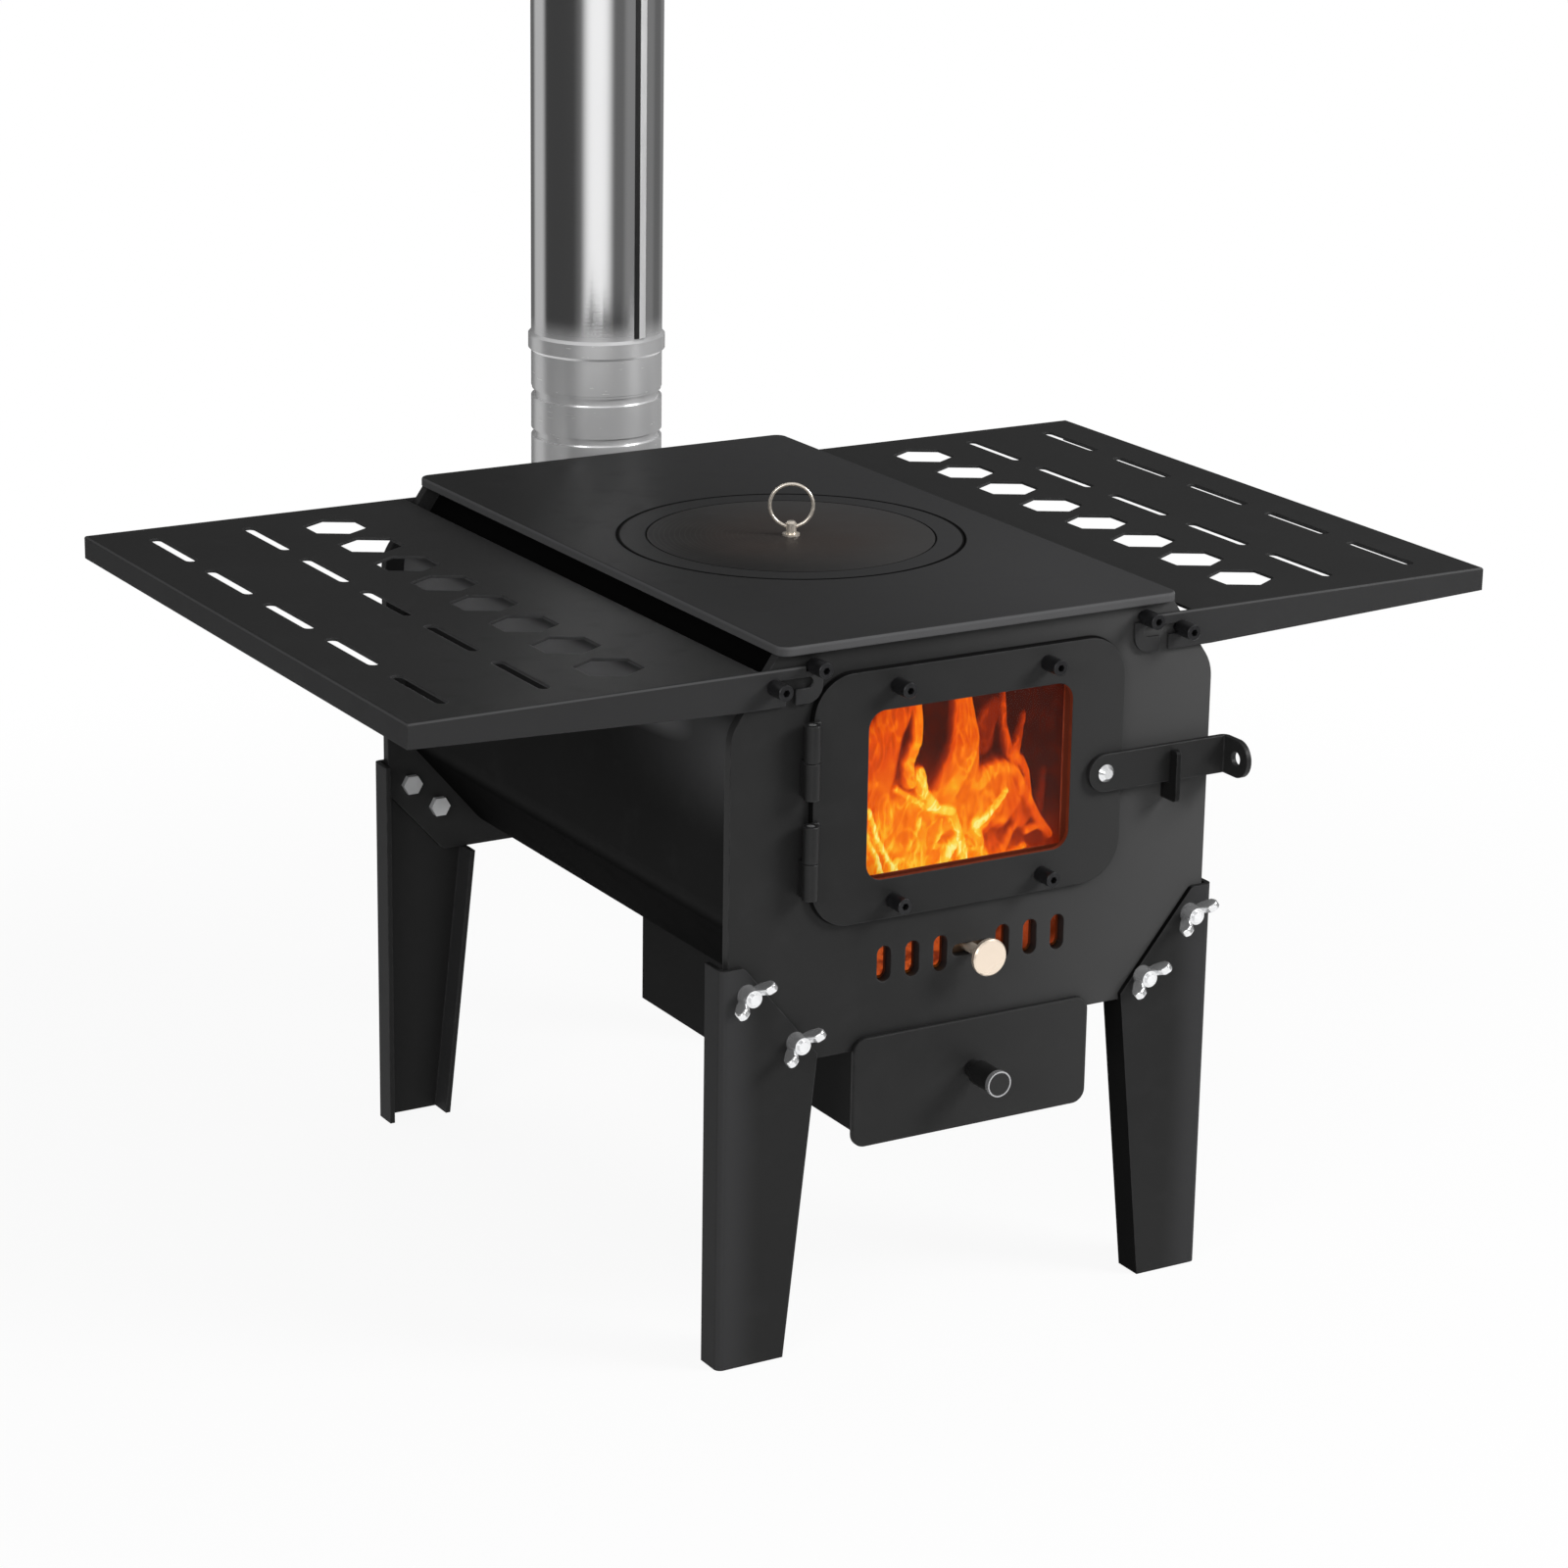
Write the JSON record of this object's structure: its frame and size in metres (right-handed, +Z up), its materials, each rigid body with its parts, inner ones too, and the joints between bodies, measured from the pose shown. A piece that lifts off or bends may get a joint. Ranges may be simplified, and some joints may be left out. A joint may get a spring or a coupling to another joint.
{
  "type": "camping wood stove",
  "caption": "Tent stove on channel legs with a glazed door, air slide, ash drawer, lift-off hob lid, hook-on side shelves and a rear flue.",
  "frame": {"origin": "on the ground under the middle of the whole stove's box", "axes": "+Z up; +Y from the door towards the flue; +X to the right as seen by someone facing the door"},
  "size_m": [0.6792, 0.5443, 0.8597],
  "materials": {
    "black_coat": "matte heat-proof powder coat",
    "lid_coat": "satin black steel",
    "stainless": "bright rolled stainless sheet",
    "zinc": "bright zinc",
    "black_screws": "black oxide",
    "bare_steel": "heat-darkened sheet",
    "bright_trim": "pale polished steel",
    "knob_black": "satin black",
    "grate_iron": "sand-cast, sooty",
    "window_glass": "clear heat-proof ceramic glass",
    "gasket_cloth": "flat glass-fibre tape"
  },
  "bodies": {
    "stove": {"front_plate": "black_coat", "back_plate": "black_coat", "body_shell": "black_coat", "cooktop_plate": "black_coat", "hinge_knuckles_fixed": "black_coat", "hinge_pins": "zinc", "latch_catch": "black_coat", "air_slide_guides": "bare_steel", "ash_box": "black_coat", "leg_front_left": "black_coat", "leg_front_right": "black_coat", "leg_rear_left": "black_coat", "leg_rear_right": "black_coat", "leg_bolts_front": "zinc", "wing_nuts_front": "zinc", "leg_bolts_rear": "zinc", "wing_nuts_rear": "zinc", "shelf_studs_front": "black_screws", "shelf_studs_rear": "black_screws", "flue_collar": "stainless"},
    "door": {"door_plate": "black_coat", "door_glass": "window_glass", "glass_gasket": "gasket_cloth", "glass_retainer": "black_coat", "door_screws": "black_screws", "door_screw_nuts": "zinc", "hinge_knuckles_door": "black_coat", "latch_rivet": "zinc"},
    "latch": {"latch_bar": "black_coat"},
    "air_slide": {"air_slide_plate": "bare_steel", "air_knob": "bright_trim"},
    "ash_drawer": {"ash_tray": "black_coat", "drawer_front": "black_coat", "drawer_knob": "knob_black", "drawer_knob_ferrule": "bright_trim", "drawer_knob_screw": "zinc"},
    "grate": {"fire_grate": "grate_iron"},
    "shelf_on_left": {"shelf_left": "black_coat"},
    "shelf_on_right": {"shelf_right": "black_coat"},
    "hob_ring": {"reducer_ring": "black_coat"},
    "lid": {"centre_lid": "lid_coat", "lid_post": "bright_trim"},
    "lid_handle": {"lid_ring": "bright_trim"},
    "tee": {"flue_tee": "stainless"},
    "cap": {"tee_cap": "stainless"},
    "pipe": {"flue_pipe": "stainless"}
  },
  "joints": [
    {"name": "door_hinge", "type": "hinge", "parent": "stove", "child": "door", "pos_m": [-0.1085, -0.24865, 0.314], "axis": [0, 0, -1], "range_deg": [0, 115]},
    {"name": "latch_lift", "type": "hinge", "parent": "door", "child": "latch", "pos_m": [0.08, -0.24565, 0.307], "axis": [0, -1, 0], "range_deg": [0, 75]},
    {"name": "air_slide_travel", "type": "slide", "parent": "stove", "child": "air_slide", "axis": [1, 0, 0], "range_m": [-0.009, 0.009]},
    {"name": "ash_drawer_pull", "type": "slide", "parent": "stove", "child": "ash_drawer", "axis": [0, -1, 0], "range_m": [0, 0.2]},
    {"name": "grate_lift", "type": "slide", "parent": "stove", "child": "grate", "axis": [0, 0, 1], "range_m": [0, 0.05]},
    {"name": "left_shelf_unhook", "type": "slide", "parent": "stove", "child": "shelf_on_left", "axis": [-1, 0, 0], "range_m": [0, 0.02]},
    {"name": "right_shelf_unhook", "type": "slide", "parent": "stove", "child": "shelf_on_right", "axis": [1, 0, 0], "range_m": [0, 0.02]},
    {"name": "hob_ring_lift", "type": "slide", "parent": "stove", "child": "hob_ring", "axis": [0, 0, 1], "range_m": [0, 0.08]},
    {"name": "lid_lift", "type": "slide", "parent": "hob_ring", "child": "lid", "axis": [0, 0, 1], "range_m": [0, 0.08]},
    {"name": "lid_handle_swing", "type": "hinge", "parent": "lid", "child": "lid_handle", "pos_m": [0, -0.04015, 0.4087], "axis": [0.866, -0.5, 0], "range_deg": [-95, 95]},
    {"name": "flue_tee_pull", "type": "slide", "parent": "stove", "child": "tee", "axis": [0, 1, 0], "range_m": [0, 0.05]},
    {"name": "tee_cap_pull", "type": "slide", "parent": "tee", "child": "cap", "axis": [0, 0, -1], "range_m": [0, 0.05]},
    {"name": "flue_pipe_lift", "type": "slide", "parent": "tee", "child": "pipe", "axis": [0, 0, 1], "range_m": [0, 0.1]}
  ]
}
